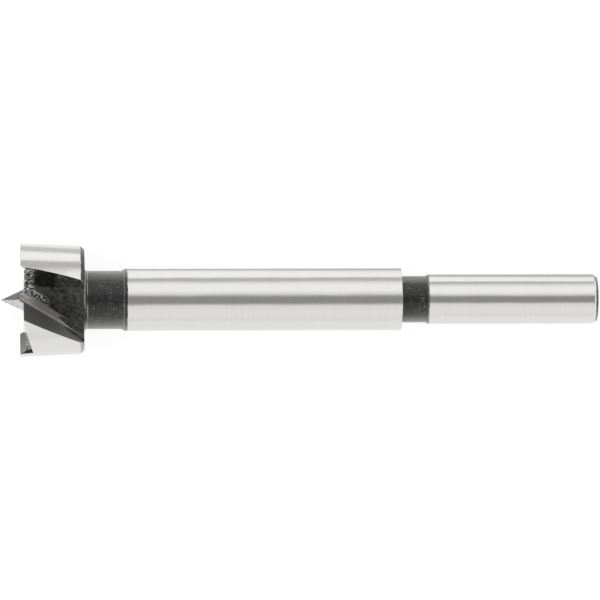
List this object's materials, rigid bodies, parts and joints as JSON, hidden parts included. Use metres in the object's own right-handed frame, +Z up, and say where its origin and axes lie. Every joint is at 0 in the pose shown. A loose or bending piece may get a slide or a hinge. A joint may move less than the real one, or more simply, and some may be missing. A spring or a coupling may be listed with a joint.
{
  "type": "forstner bit",
  "caption": "Centre-point cylinder bit with cutting lips, scribing spurs, open chip flutes and a plain round shank, for clean flat-bottomed holes in wood.",
  "frame": {"origin": "centre of the underside of the bounding box: the table point below the middle of the bit as it lies at rest", "axes": "+X from the centre point towards the shank end, in plan; +Z up from the table the bit rests on; +Y to the left of +X, so that +X, +Y, +Z is right-handed"},
  "size_m": [0.12, 0.0228, 0.0213],
  "materials": {
    "steel": "ground bright on the head's rim, body and shank; black scale on the neck, the waist and in the flutes"
  },
  "bodies": {
    "root": {"forstner_bit": "steel"}
  },
  "joints": []
}
